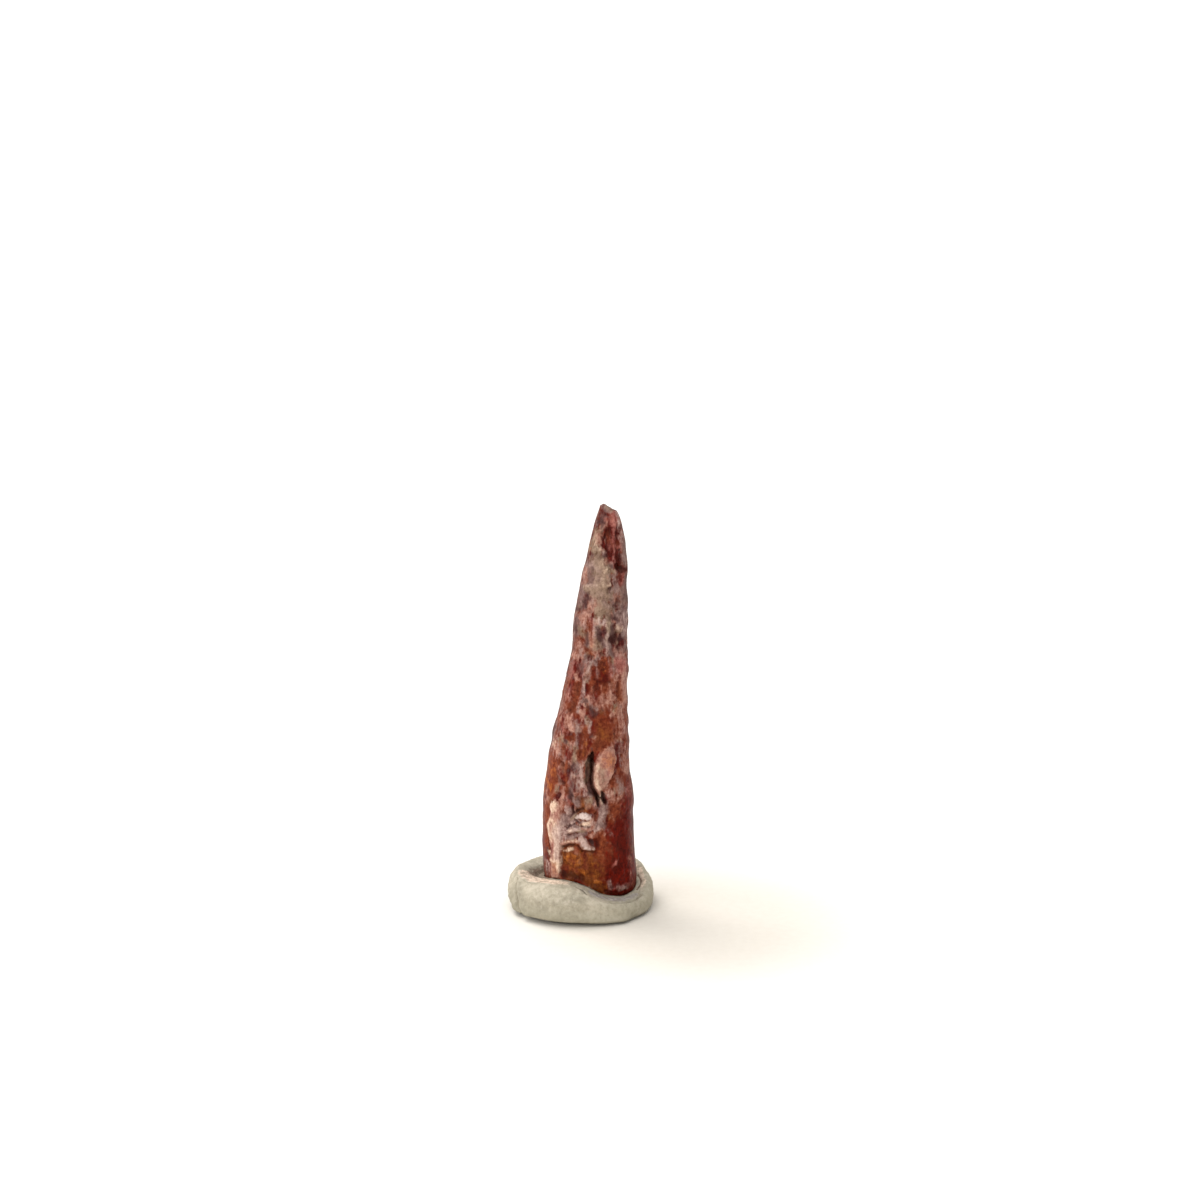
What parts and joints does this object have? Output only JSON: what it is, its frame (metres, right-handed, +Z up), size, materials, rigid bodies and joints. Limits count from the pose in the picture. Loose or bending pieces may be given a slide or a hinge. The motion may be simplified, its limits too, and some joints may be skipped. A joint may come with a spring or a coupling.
{
  "type": "fossil pterosaur tooth",
  "caption": "Slender curved fossil tooth with a cracked, flaking root, standing upright in a small pressed lump of museum putty.",
  "frame": {"origin": "on the flat underside of the putty, at the middle of the whole object", "axes": "+Z up along the tooth towards its tip, +X to the right and -Y towards the viewer when the open crack faces the viewer"},
  "size_m": [0.0074, 0.0074, 0.0208],
  "materials": {
    "fossil_dentine": "mineralised dentine, rust red to maroon with tan and mauve crust, waxy and partly glossy",
    "museum_putty": "grey-beige kneaded putty, matte and finely grained"
  },
  "bodies": {
    "root": {"tooth": "fossil_dentine", "putty": "museum_putty"}
  },
  "joints": []
}
